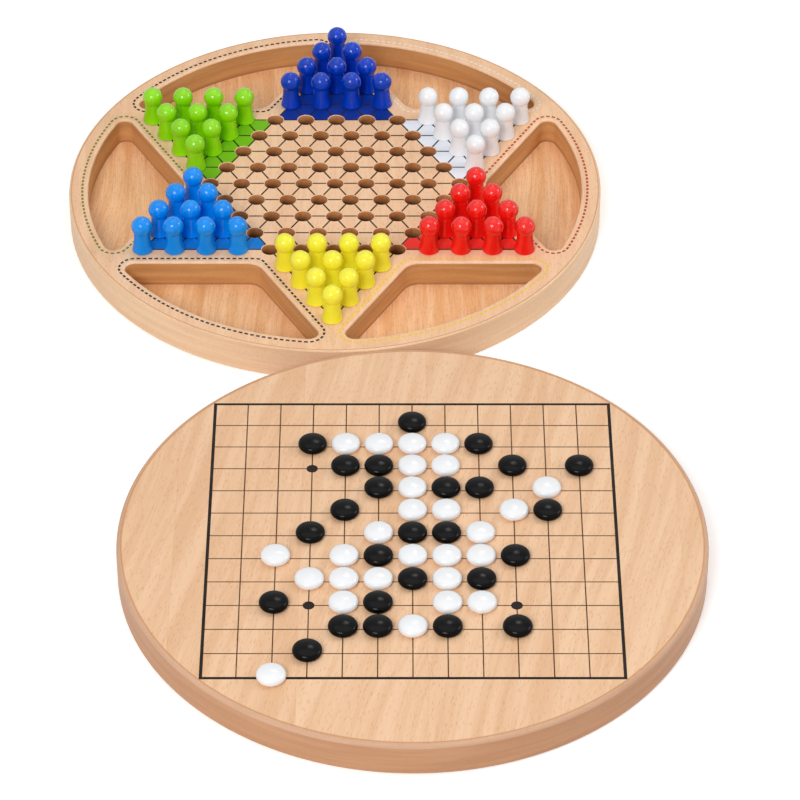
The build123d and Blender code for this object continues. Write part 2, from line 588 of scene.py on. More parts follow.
@dataclass(frozen=True)
class WoodFinish:
    """Sanded beech under a clear matt lacquer.

    Its grain runs from front to rear, or is turned clockwise from that by grain_turn degrees.
    Widths are in millimetres. A pace says how many features a millimetre has along x, y and z,
    a noise is given by its detail and its roughness, and a band is the stretch of a pattern's
    values over which it shows more and more. The wood's own roughness grows with its fibres,
    and of the relief the fibres raise ridge_share and the flecks take away pore_share.
    """

    pale: Colour
    deep: Colour
    grain_turn: float = 0.0
    sway_pace: Triple = (0.012, 0.006, 0.03)
    sway: float = 26.0
    streak_pace: Triple = (0.16, 0.007, 0.16)
    streak_noise: Pair = (4.0, 0.55)
    streak_band: Pair = (0.32, 0.68)
    fibre_pace: Triple = (1.5, 0.06, 1.5)
    fibre_noise: Pair = (3.0, 0.6)
    fibre_band: Pair = (0.35, 0.75)
    fibre_strength: float = 0.09
    fleck: Colour = (0.36, 0.17, 0.085)
    fleck_size: Pair = (0.65, 2.6)
    fleck_edge: Pair = (0.42, 0.15)
    fleck_lot: Pair = (0.25, 0.7)
    fleck_strength: float = 0.26
    stave_width: float = 900.0
    stave_shift: float = 400.0
    stave_stretch: float = 700.0
    stave_contrast: float = 0.02
    stave_powers: Triple = (0.6, 1.0, 1.3)
    joint_width: float = 0.3
    joint_core: float = 0.05
    joint_strength: float = 0.14
    crease_centre: Pair = (0.0, 0.0)
    crease_radius: float | None = None
    crease_width: float = 0.9
    crease_strength: float = 0.8
    # Painted shade: a wall or a bore darkens towards the fleck colour near its foot
    foot: float | None = None
    painted_foot_shade_width: float = 2.4
    painted_foot_shade_strength: float = 0.8
    line_core: float = 0.1
    roughness: Pair = (0.41, 0.55)
    roughness_band: Pair = (0.2, 0.8)
    specular: float = 0.25
    relief: float = 0.03
    ridge_share: float = 0.6
    pore_share: float = 0.5

    def material(self, name: str) -> Material:
        """Builds the wood from the place in the solid, so faces and rims share one grain.

        Staves are steps of x, each with its own shade and its own stretch of grain, and a hair of
        glue shows between two: where x, folded at half a stave, is almost nothing. Streaks and
        fibres are noise drawn out along the grain. A thin darker line runs where a rim's rounding
        starts, at the crease's radius, and painted shade darkens a wall or a bore towards its foot.

        Args:
            name: The material's name.

        Returns:
            The material.
        """
        tree = Surface(name)
        x, _, height = tree.apart(tree.place)
        staves = tree.math("DIVIDE", tree.math("ADD", x, self.stave_shift), self.stave_width)
        chance = tree.add(
            "TexWhiteNoise", {"W": tree.math("FLOOR", staves)}, noise_dimensions="1D"
        )
        grain = self._grain(tree, chance["Color"])
        streaks = tree.vector("MULTIPLY", grain, self.streak_pace)
        streaks = tree.noise(streaks, *self.streak_noise)
        fibres = tree.noise(tree.vector("MULTIPLY", grain, self.fibre_pace), *self.fibre_noise)
        flecks = self._flecks(tree, grain)

        colour = tree.mix(tree.band(streaks, *self.streak_band), self.pale, self.deep)
        fibred = tree.band(fibres, *self.fibre_band, end=self.fibre_strength)
        colour = tree.mix(fibred, colour, self.fleck)
        colour = tree.mix(tree.math("MULTIPLY", flecks, self.fleck_strength), colour, self.fleck)
        colour = tree.mix(1.0, colour, self._stave_tone(tree, chance["Value"]), "MULTIPLY")
        from_joint = tree.math("MULTIPLY", tree.math("PINGPONG", staves, 0.5), self.stave_width)
        joint = tree.band(from_joint, self.joint_width, self.joint_core, end=self.joint_strength)
        colour = tree.mix(joint, colour, self.fleck)
        if self.crease_radius is not None:
            flat = tree.vector("MULTIPLY", tree.place, (1.0, 1.0, 0.0))
            out = tree.vector("SUBTRACT", flat, (*self.crease_centre, 0.0))
            off = tree.math("SUBTRACT", tree.vector("LENGTH", out), self.crease_radius)
            off = tree.math("ABSOLUTE", off)
            crease = tree.band(off, self.crease_width, self.line_core, end=self.crease_strength)
            colour = tree.mix(crease, colour, self.fleck)
        # Painted shade, darker towards the foot of a wall or a bore; at a well's wall it also stands
        # for a glue line
        if self.foot is not None:
            above = tree.math("SUBTRACT", height, self.foot)
            shade = tree.band(above, self.painted_foot_shade_width, self.line_core, end=self.painted_foot_shade_strength)
            colour = tree.mix(shade, colour, self.fleck)

        roughness = tree.band(fibres, *self.roughness_band, *self.roughness)
        tree.coat(colour, roughness, self.specular)
        ridges = tree.math("MULTIPLY", fibres, self.ridge_share)
        pores = tree.math("MULTIPLY", flecks, self.pore_share)
        tree.bump(tree.math("SUBTRACT", ridges, pores), self.relief)
        return tree.material

    def _grain(self, tree: Surface, stave: Socket) -> Socket:
        """Finds the place in the grain: shifted for each stave, turned, and swayed by slow noise.

        Args:
            tree: The wood's tree.
            stave: A stave's own random direction.

        Returns:
            The place, in millimetres.
        """
        own = tree.vector("ADD", tree.place, tree.scaled(stave, self.stave_stretch))
        if self.grain_turn:
            own = tree.turned(own, self.grain_turn)
        sway = tree.noise(tree.vector("MULTIPLY", own, self.sway_pace), detail=1.0)
        aside = tree.add("CombineXYZ", {0: tree.math("MULTIPLY", sway, self.sway)})[0]
        return tree.vector("ADD", own, aside)

    def _flecks(self, tree: Surface, grain: Socket) -> Socket:
        """Strews small spindles: the insides of drawn-out Voronoi cells, some of them faint.

        Args:
            tree: The wood's tree.
            grain: The place in the grain.

        Returns:
            Their strength, from 0 to 1.
        """
        wide, long = self.fleck_size
        place = tree.vector("MULTIPLY", grain, (1 / wide, 1 / long, 1 / wide))
        cells = tree.add("TexVoronoi", {"Vector": place, "Scale": 1.0}, feature="F1")
        lot = tree.add("SeparateColor", {0: cells["Color"]})[0]
        spindle = tree.band(cells["Distance"], *self.fleck_edge)
        return tree.math("MULTIPLY", spindle, tree.band(lot, *self.fleck_lot))

    def _stave_tone(self, tree: Surface, chance: Socket) -> Socket:
        """Tints a stave: its shade, raised to a power of its own in red, green and blue.

        Args:
            tree: The wood's tree.
            chance: A stave's own random number.

        Returns:
            The colour that the stave's colour is multiplied by.
        """
        contrast = self.stave_contrast
        shade = tree.math("MULTIPLY_ADD", chance, 2 * contrast, 1 - contrast)
        tones = (tree.math("POWER", shade, power) for power in self.stave_powers)
        return tree.add("CombineColor", dict(enumerate(tones)))[0]


@dataclass(frozen=True)
class PaintFinish:
    """Gloss paint on turned wood, or polished plastic.

    It has clouds of a deeper shade, a little orange peel, which its roughness grows with, and
    the faintest rings in height. Paces and bands are as in WoodFinish.
    """

    colour: Colour
    deep: Colour
    roughness: Pair = (0.125, 0.205)
    specular: float = 0.42
    cloud_pace: float = 0.11
    cloud_band: Pair = (0.3, 0.7)
    peel_pace: float = 0.7
    peel_band: Pair = (0.25, 0.75)
    ring_pace: Triple = (0.02, 0.02, 1.6)
    ring_share: float = 0.5
    relief: float = 0.012

    def material(self, name: str) -> Material:
        """Builds the paint.

        Args:
            name: The material's name.

        Returns:
            The material.
        """
        tree = Surface(name)
        clouds = tree.noise(tree.scaled(tree.place, self.cloud_pace), detail=3.0)
        peel = tree.noise(tree.scaled(tree.place, self.peel_pace))
        rings = tree.noise(tree.vector("MULTIPLY", tree.place, self.ring_pace), detail=1.0)
        colour = tree.mix(tree.band(clouds, *self.cloud_band), self.colour, self.deep)
        roughness = tree.band(peel, *self.peel_band, *self.roughness)
        tree.coat(colour, roughness, self.specular)
        ringed = tree.math("ADD", peel, tree.math("MULTIPLY", rings, self.ring_share))
        tree.bump(ringed, self.relief)
        return tree.material


BARE_WOOD: Colour = (0.86, 0.58, 0.38)


@dataclass(frozen=True)
class InkFinish:
    """Screen-printed ink, thin enough for the wood's fibres to break it here and there.

    Its wear is the most that the fibres show of the worn colour; clouds show cloud_share of
    that. Paces, noises and bands are as in WoodFinish.
    """

    colour: Colour
    wear: float = 0.12
    worn: Colour = BARE_WOOD
    roughness: Pair = (0.39, 0.55)
    roughness_band: Pair = (0.2, 0.8)
    specular: float = 0.12
    fibre_pace: Triple = (1.9, 0.22, 1.9)
    fibre_noise: Pair = (3.0, 0.6)
    fibre_band: Pair = (0.58, 0.78)
    cloud_pace: float = 0.06
    cloud_band: Pair = (0.3, 0.8)
    cloud_share: float = 1 / 3
    relief: float = 0.008

    def material(self, name: str) -> Material:
        """Builds the ink: its colour, lightened towards the worn one along drawn-out noise.

        Args:
            name: The material's name.

        Returns:
            The material.
        """
        tree = Surface(name)
        fibres = tree.vector("MULTIPLY", tree.place, self.fibre_pace)
        fibres = tree.noise(fibres, *self.fibre_noise)
        clouds = tree.noise(tree.scaled(tree.place, self.cloud_pace))
        broken = tree.band(fibres, *self.fibre_band, end=self.wear)
        thin = tree.band(clouds, *self.cloud_band, end=self.wear * self.cloud_share)
        colour = tree.mix(tree.math("ADD", broken, thin), self.colour, self.worn)
        roughness = tree.band(fibres, *self.roughness_band, *self.roughness)
        tree.coat(colour, roughness, self.specular)
        tree.bump(fibres, self.relief)
        return tree.material


PAINTS = {
    PegColour.WHITE: PaintFinish((0.95, 0.96, 0.975), (0.93, 0.945, 0.965)),
    PegColour.NAVY: PaintFinish((0.0, 0.050, 0.58), (0.0, 0.042, 0.47), specular=0.32),
    PegColour.GREEN: PaintFinish((0.305, 0.79, 0.002), (0.265, 0.70, 0.001)),
    PegColour.SKY: PaintFinish((0.0, 0.30, 0.95), (0.0, 0.265, 0.88), specular=0.34),
    PegColour.YELLOW: PaintFinish((0.98, 0.93, 0.05), (0.97, 0.88, 0.035)),
    PegColour.RED: PaintFinish((0.96, 0.013, 0.008), (0.88, 0.011, 0.007)),
}
STONES = {
    StoneColour.BLACK: PaintFinish(
        (0.001, 0.001, 0.0012), (0.002, 0.002, 0.002), roughness=(0.15, 0.23), specular=0.10
    ),
    StoneColour.WHITE: PaintFinish(
        (0.90, 0.91, 0.93), (0.88, 0.89, 0.91), roughness=(0.13, 0.21)
    ),
}
FILLS = {
    PegColour.WHITE: InkFinish((0.84, 0.87, 0.95)),
    PegColour.NAVY: InkFinish((0.001, 0.032, 0.30), wear=0.03),
    PegColour.GREEN: InkFinish((0.17, 0.48, 0.006), wear=0.08),
    PegColour.SKY: InkFinish((0.0, 0.19, 0.60), wear=0.06),
    PegColour.YELLOW: InkFinish((0.93, 0.80, 0.02)),
    PegColour.RED: InkFinish((0.84, 0.030, 0.022)),
}
# The dashed lines round the wells, anticlockwise from the well at the right
DASHES = {
    PegColour.RED: InkFinish((0.46, 0.060, 0.025)),
    PegColour.WHITE: InkFinish((0.90, 0.77, 0.62)),
    PegColour.NAVY: InkFinish((0.008, 0.006, 0.022), wear=0.05),
    PegColour.GREEN: InkFinish((0.22, 0.21, 0.035)),
    PegColour.SKY: InkFinish((0.006, 0.032, 0.050), wear=0.05),
    PegColour.YELLOW: InkFinish((0.88, 0.60, 0.06)),
}
LATTICE_INK = InkFinish((0.013, 0.008, 0.006), wear=0.1)
GRID_INK = InkFinish((0.075, 0.026, 0.010), wear=0.2)
BORDER_INK = InkFinish((0.005, 0.003, 0.003), wear=0.06)
DOT_INK = InkFinish((0.012, 0.006, 0.005), wear=0.05)
LAYERED: Triple = (0.016, 0.016, 0.30)  # the streaks of a rim or a wall, level with the table


# Sub-assemblies


@dataclass(frozen=True)
class Disc:
    """A round CAD node, measured from its box, in millimetres."""

    node: str

    @property
    def box(self) -> tuple[Floats, Floats]:
        """Its lowest and highest corners."""
        low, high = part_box(self.node)
        return np.array(low) / MM, np.array(high) / MM

    @property
    def centre(self) -> Pair:
        """The x and y of its axis."""
        low, high = self.box
        return (low[0] + high[0]) / 2, (low[1] + high[1]) / 2

    @property
    def axis(self) -> Floats:
        """The foot of its axis on the table, as the one row of a list of places."""
        return np.array([[*self.centre, 0.0]])

    @property
    def radius(self) -> float:
        """Half its width."""
        low, high = self.box
        return (high[0] - low[0]) / 2

    @property
    def top(self) -> float:
        """Height of its top face."""
        return self.box[1][2]


def crowns(node: str) -> Floats:
    """Finds where a node's turned pieces stand, from the tops of their solids.

    A turned piece's highest corner lies on its axis, so the places are the distinct x and y of
    the corners within a weld of the node's highest one.

    Args:
        node: Name of a CAD node.

    Returns:
        One row of x and y for each piece, in millimetres, ordered by x and then y.
    """
    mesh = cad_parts[node].data
    flat = np.empty(len(mesh.vertices) * 3)
    mesh.vertices.foreach_get("co", flat)
    corners = flat.reshape(-1, 3) / MM
    highest = corners[corners[:, 2] > corners[:, 2].max() - WELD, :2]
    return np.unique(np.round(highest, 2), axis=0)


def finished(piece: bpy.types.Object, body: str, slot: str | None, *nodes: str) -> None:
    """Puts a piece on its body and hides the CAD nodes that it stands for.

    Args:
        piece: The piece.
        body: Name of the body that carries it.
        slot: Name of its material slot, or None for a print, which has none. Not used.
        nodes: Names of the CAD nodes that it replaces.
    """
    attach(piece, body)
    if nodes:
        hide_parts(*nodes)
    log.info("%s: %d triangles on %s", piece.name, len(piece.data.polygons), body)


@dataclass(frozen=True)
class StarTray:
    """The tray: a drilled plate with six wells over a thin base plate, and its printed star."""

    body: str = "star_tray"
    plate: Disc = Disc("star_tray_top")
    base: Disc = Disc("star_tray_base")
    rim_round: float = 1.0
    rim_steps: int = 5
    rim_segments: int = 360
    pitch: float = 17.0
    rows: int = 4
    hole_radius: float = 4.5
    hole_depth: float = 10.0
    hole_round: float = 0.35
    hole_steps: int = 3
    hole_segments: int = 36
    painted_hole_shade_depth: float = 8.5  # depth at which the painted shade in a hole is at its darkest
    web: float = 11.1
    well_rim: float = 10.4
    inner_corner: float = 10.0
    outer_corner: float = 5.0
    corner_steps: int = 16
    well_round: float = 1.2
    well_steps: int = 6
    line_width: float = 0.85
    line_height: float = 0.06
    fill_height: float = 0.035
    dash_offset: float = 3.2
    dash_corner: float = 2.6
    dash_corner_steps: int = 40
    dash_width: float = 1.2
    dash_period: float = 3.2
    dash_share: float = 0.62
    dash_chords: int = 4

    @property
    def row_step(self) -> float:
        """Distance between two rows of holes: the height of a triangle whose sides are the pitch."""
        return self.pitch * math.sqrt(3) / 2

    @property
    def rim_edge(self) -> float:
        """Radius of the flat top face, where the rim's rounding starts."""
        return self.plate.radius - self.rim_round

    @property
    def mouth(self) -> float:
        """Radius of a hole's mouth, with its rounded brim."""
        return self.hole_radius + self.hole_round

    @property
    def mouth_reach(self) -> float:
        """A radius past the middles of all triangles that fill a mouth, short of those round it."""
        return self.mouth * math.cos(math.pi / self.hole_segments) ** 2

    def lattice(self) -> Floats:
        """The holes' places: points of a triangular lattice inside either of two triangles.

        A point i steps right and j steps along the way at sixty degrees lies in the star if its
        three lattice coordinates i, j and -i-j are all at most the number of rows, or all at
        least its negative.

        Returns:
            One row of x and y for each hole, from the tray's axis.
        """
        span = np.arange(-2 * self.rows, 2 * self.rows + 1)
        i, j = (axis.ravel() for axis in np.meshgrid(span, span))
        trio = np.stack([i, j, -i - j])
        held = (trio.max(axis=0) <= self.rows) | (trio.min(axis=0) >= -self.rows)
        i, j = i[held], j[held]
        return np.stack([(i + j / 2) * self.pitch, j * self.row_step], axis=-1)

    def well(
        self, place: int, grow: float = 0.0, steps: int | None = None, corner: float | None = None
    ) -> tuple[Floats, Floats]:
        """A well's outline: four arcs, joined by straight sides that touch them.

        Each arc is centre plus radius times (cosine, sine) of its angle, so an outline that has
        grown has the same centres and larger radii. The inner corner's centre lies where both
        sides are one corner radius away, and an outer corner's where a side and the curved rim
        are.

        Args:
            place: Number of the well, anticlockwise from the one at the right.
            grow: How far the outline lies outside the well.
            steps: Chords of each corner, if not the well's own; the long arc has four times as
                many.
            corner: Radius of the inner corner before the outline has grown, if not the well's own.

        Returns:
            The outline's points, anticlockwise, and its directions away from the well.
        """
        turn, half = place * SIXTH_TURN, SIXTH_TURN / 2
        steps = self.corner_steps if steps is None else steps
        corner = self.inner_corner if corner is None else corner
        side = self.rows * self.row_step + self.web
        far = self.plate.radius - self.well_rim
        outer = far - self.outer_corner
        lean = math.acos((side + self.outer_corner) / outer) - half
        inner = (side + corner) / math.cos(half)
        arcs = (
            (inner, 0.0, corner, math.pi - half, math.pi + half, steps),
            (outer, -lean, self.outer_corner, math.pi + half, FULL_TURN - lean, steps),
            (0.0, 0.0, far, -lean, lean, 4 * steps),
            (outer, lean, self.outer_corner, lean, math.pi - half, steps),
        )
        points, normals = [], []
        for distance, at, radius, start, end, count in arcs:
            away = circle(np.linspace(start, end, count + 1) + turn)
            points.append(distance * circle(at + turn) + (radius + grow) * away)
            normals.append(away)
        outline, away = np.concatenate(points), np.concatenate(normals)
        apart = np.linalg.norm(outline - np.roll(outline, 1, axis=0), axis=-1) > WELD
        return outline[apart], away[apart]

    def clear_of_wells(self, points: Floats, grow: float) -> Flags:
        """Which points, from the tray's axis, lie outside the wells' outlines grown this far."""
        held = [inside(points, self.well(place, grow)[0]) for place in range(6)]
        return ~np.any(held, axis=0)

    def build_plate(self, materials: Sequence[Material]) -> None:
        """Builds the drilled plate: its rim, flat faces, wells and holes.

        Args:
            materials: Its finishes, in the order of PlateFinish.
        """
        shell, radius = Shell(), self.plate.radius
        side_top = self.plate.top - self.rim_round
        rim = [
            straight((radius, self.base.top), (radius, side_top)),
            bend((self.rim_edge, side_top), self.rim_round, 0, 90, self.rim_steps),
        ]
        turned(shell, rim, self.plate.axis, self.rim_segments, PlateFinish.RIM)
        self._faces(shell)
        for place in range(6):
            self._well_wall(shell, place)
        self._holes(shell)
        piece = shell.build("star_tray_plate", materials)
        finished(piece, self.body, "tray_wood", self.plate.node)

    def _faces(self, shell: Shell) -> None:
        """Adds the plate's two flat faces: a disc less the wells, and on top less the holes.

        Args:
            shell: The plate's shell.
        """
        holes, wells = self.lattice(), [self.well(place) for place in range(6)]

        def on_top(points: Floats) -> Flags:
            """Keeps what lies within the rim and neither in a well nor in a hole."""
            clear = self.clear_of_wells(points, self.well_round)
            clear &= np.linalg.norm(points, axis=-1) < self.rim_edge
            return clear & clear_of(points, holes, self.mouth_reach)

        def underneath(points: Floats) -> Flags:
            """Keeps what lies within the rim and not in a well."""
            within = np.linalg.norm(points, axis=-1) < self.plate.radius
            return within & self.clear_of_wells(points, 0.0)

        brims = [outline + self.well_round * away for outline, away in wells]
        mouths = [ring(self.mouth, self.hole_segments, hole) for hole in holes]
        edge = ring(self.rim_edge, self.rim_segments)
        points, triangles = flat_region([edge, *brims, *mouths], on_top)
        shell.add(lifted(points + self.plate.centre, self.plate.top), UP, triangles)
        edge = ring(self.plate.radius, self.rim_segments)
        points, triangles = flat_region([edge, *(outline for outline, _ in wells)], underneath)
        shell.add(lifted(points + self.plate.centre, self.base.top), DOWN, triangles)

    def _well_wall(self, shell: Shell, place: int) -> None:
        """Adds a well's wall: its outline, swept round the rounded edge and down to the floor.

        At each angle of the rounding the outline moves out by the radius times one less the
        cosine, and down by the radius times one less the sine.

        Args:
            shell: The plate's shell.
            place: Number of the well, anticlockwise from the one at the right.
        """
        outline, away = (looped(rows) for rows in self.well(place))
        angle = np.radians(np.linspace(90, 0, self.well_steps + 1))
        facing = np.stack([-np.cos(angle), np.sin(angle)], axis=-1)
        offsets = self.well_round * (1 + facing[:, 0])
        heights = self.plate.top - self.well_round * (1 - facing[:, 1])
        facing = np.vstack([facing, facing[-1:]])
        offsets, heights = np.append(offsets, 0.0), np.append(heights, self.base.top)
        wall = np.empty((len(offsets), len(outline), 3))
        wall[..., :2] = outline + offsets[:, None, None] * away + self.plate.centre
        wall[..., 2] = heights[:, None]
        normals = np.empty_like(wall)
        normals[..., :2] = facing[:, :1, None] * away
        normals[..., 2] = facing[:, 1:]
        foot = self.well_steps + 1
        shell.add_grid(wall[:foot], normals[:foot], PlateFinish.WELL_ROUNDING)
        shell.add_grid(wall[foot - 1 :], normals[foot - 1 :], PlateFinish.WELL_WALL)

    def _holes(self, shell: Shell) -> None:
        """Adds the peg holes, each with a rounded brim and a flat bottom.

        Args:
            shell: The plate's shell.
        """
        feet = lifted(self.lattice() + self.plate.centre, 0.0)
        brim, bottom = self.plate.top - self.hole_round, self.plate.top - self.hole_depth
        mouth = [bend((self.mouth, brim), self.hole_round, 90, 180, self.hole_steps)]
        turned(shell, mouth, feet, self.hole_segments, PlateFinish.TOP)
        bore = [
            straight((self.hole_radius, brim), (self.hole_radius, bottom)),
            straight((self.hole_radius, bottom), (0.0, bottom)),
        ]
        turned(shell, bore, feet, self.hole_segments, PlateFinish.HOLE)

    def build_base(self, materials: Sequence[Material]) -> None:
        """Builds the base plate, whose top face is the wells' floors.

        Args:
            materials: Its finishes, in the order of BaseFinish.
        """
        shell, axis, radius, top = Shell(), self.base.axis, self.base.radius, self.base.top
        foot = radius - self.rim_round
        rim = [
            bend((foot, self.rim_round), self.rim_round, -90, 0, self.rim_steps),
            straight((radius, self.rim_round), (radius, top)),
        ]
        underside, floor = straight((0.0, 0.0), (foot, 0.0)), straight((radius, top), (0.0, top))
        turned(shell, [underside], axis, self.rim_segments, BaseFinish.UNDERSIDE)
        turned(shell, rim, axis, self.rim_segments, BaseFinish.RIM)
        turned(shell, [floor], axis, self.rim_segments, BaseFinish.FLOOR)
        piece = shell.build("star_tray_floor", materials)
        finished(piece, self.body, "well_floor_wood", self.base.node)

    def print_film(
        self, name: str, flat: tuple[Floats, Whole], thickness: float, ink: Material
    ) -> None:
        """Prints a flat region on the tray's top face.

        Args:
            name: The print's name.
            flat: The region's points, from the tray's axis, and its triangles.
            thickness: The ink's thickness.
            ink: The ink.
        """
        points, triangles = flat
        shell, top = Shell(), self.plate.top
        film(shell, points + self.plate.centre, triangles, top, top + thickness)
        finished(shell.build(name, [ink]), self.body, None)

    def print_lines(self, ink: Material) -> None:
        """Prints a line from the mouth of each hole to the mouth of each neighbouring hole.

        Args:
            ink: The ink.
        """
        holes, ways = self.lattice(), circle(SIXTH_TURN * np.arange(3))
        ends = holes[:, None, :] + self.pitch * ways
        gap = np.linalg.norm(ends[:, :, None, :] - holes, axis=-1).min(axis=-1)
        start, way = np.nonzero(gap < WELD)
        along = np.array([self.mouth, self.pitch - self.mouth])
        paths = holes[start][:, None, :] + along[None, :, None] * ways[way][:, None, :]
        across = np.stack([-ways[way][:, 1], ways[way][:, 0]], axis=-1)
        sideways = np.broadcast_to(across[:, None, :], paths.shape)
        flat = strips(paths, sideways, self.line_width)
        self.print_film("star_lines", flat, self.line_height, ink)

    def print_point(self, arm: int, colour: PegColour, ink: Material) -> None:
        """Prints one point of the star in its colour, with its holes left out.

        Args:
            arm: Number of the point, anticlockwise from the one at thirty degrees.
            colour: The point's colour.
            ink: The ink.
        """
        outward = circle(SIXTH_TURN * (arm + 0.5))
        across = np.array([-outward[1], outward[0]])
        base, half = self.rows * self.row_step, self.rows * self.pitch / 2
        foot, apex = base * outward, 2 * base * outward
        corners = np.array([foot - half * across, apex, foot + half * across])
        holes = self.lattice()
        near = (holes @ outward > base - self.row_step / 2) & (np.abs(holes @ across) < half + WELD)
        holes = holes[near]
        mouths = [ring(self.mouth, self.hole_segments, hole) for hole in holes]

        def inked(points: Floats) -> Flags:
            """Keeps what lies in the triangle and in no hole."""
            return inside(points, corners) & clear_of(points, holes, self.mouth_reach)

        flat = flat_region([corners, *mouths], inked)
        self.print_film(f"{colour.value}_point_print", flat, self.fill_height, ink)

    def print_dashes(self, place: int, colour: PegColour, ink: Material) -> None:
        """Prints a dashed line round one well, a whole number of equal dashes long.

        Args:
            place: Number of the well, anticlockwise from the one at the right.
            colour: The dashes' colour.
            ink: The ink.
        """
        line = self.well(place, self.dash_offset, self.dash_corner_steps, self.dash_corner)
        outline, away = (looped(rows) for rows in line)
        gone = np.append(0.0, np.cumsum(np.linalg.norm(np.diff(outline, axis=0), axis=-1)))
        count = round(gone[-1] / self.dash_period)
        step = gone[-1] / count
        within = np.linspace(0.0, self.dash_share * step, self.dash_chords + 1)
        where = np.arange(count)[:, None] * step + within
        paths, sideways = (
            np.stack([np.interp(where, gone, column) for column in rows.T], axis=-1)
            for rows in (outline, away)
        )
        sideways /= np.linalg.norm(sideways, axis=-1, keepdims=True)
        flat = strips(paths, sideways, self.dash_width)
        self.print_film(f"{colour.value}_well_dashes", flat, self.fill_height, ink)

    def woods(self) -> dict[str, WoodFinish]:
        """The tray's woods, by the names of their materials."""
        pale, deep = (0.94, 0.615, 0.385), (0.875, 0.535, 0.32)
        return {
            "tray_top_beech": WoodFinish(
                pale,
                deep,
                fleck=(0.53, 0.235, 0.095),
                fleck_strength=0.36,
                fleck_size=(0.65, 3.6),
                crease_centre=self.plate.centre,
                crease_radius=self.rim_edge,
            ),
            "tray_rim_beech": WoodFinish(
                (0.935, 0.64, 0.405), (0.875, 0.565, 0.34), streak_pace=LAYERED
            ),
            # A well's wall darkens towards its foot: a glue line and painted contact shade
            "well_wall_beech_glue_and_painted_shade": WoodFinish(
                (0.69, 0.38, 0.155),
                (0.58, 0.285, 0.105),
                fibre_strength=0.20,
                streak_pace=LAYERED,
                foot=self.base.top,
            ),
            # The bore: darker brown wood, with painted shade that deepens to near black towards the
            # hole's bottom
            "drilled_beech_painted_shade": WoodFinish(
                (0.84, 0.385, 0.155),
                (0.63, 0.25, 0.085),
                fleck=(0.085, 0.026, 0.006),
                fibre_strength=0.25,
                roughness=(0.55, 0.69),
                foot=self.plate.top - self.painted_hole_shade_depth,
                painted_foot_shade_width=self.painted_hole_shade_depth,
                painted_foot_shade_strength=1.0,
            ),
            "well_floor_beech": WoodFinish(
                (0.98, 0.61, 0.34),
                (0.86, 0.455, 0.205),
                fleck=(0.47, 0.19, 0.075),
                fibre_strength=0.34,
                fleck_strength=0.42,
                fleck_size=(0.65, 3.6),
            ),
            "tray_underside_beech": WoodFinish(pale, deep),
            # The wells' rounded edges wear a lighter wood: a painted highlight
            "well_rounding_beech_painted_highlight": WoodFinish((0.98, 0.68, 0.46), (0.93, 0.60, 0.38)),
        }

    def build(self) -> None:
        """Builds the tray's plates and prints."""
        wood = {name: finish.material(name) for name, finish in self.woods().items()}
        rim = wood["tray_rim_beech"]
        wall, hole = wood["well_wall_beech_glue_and_painted_shade"], wood["drilled_beech_painted_shade"]
        self.build_plate([wood["tray_top_beech"], rim, wall, hole, wood["well_rounding_beech_painted_highlight"]])
        self.build_base([wood["well_floor_beech"], rim, wood["tray_underside_beech"]])
        self.print_lines(LATTICE_INK.material("lattice_ink"))
        for arm, colour in enumerate(PegColour):
            self.print_point(arm, colour, FILLS[colour].material(f"{colour.value}_point_ink"))
        for place, (colour, ink) in enumerate(DASHES.items()):
            self.print_dashes(place, colour, ink.material(f"{colour.value}_dash_ink"))


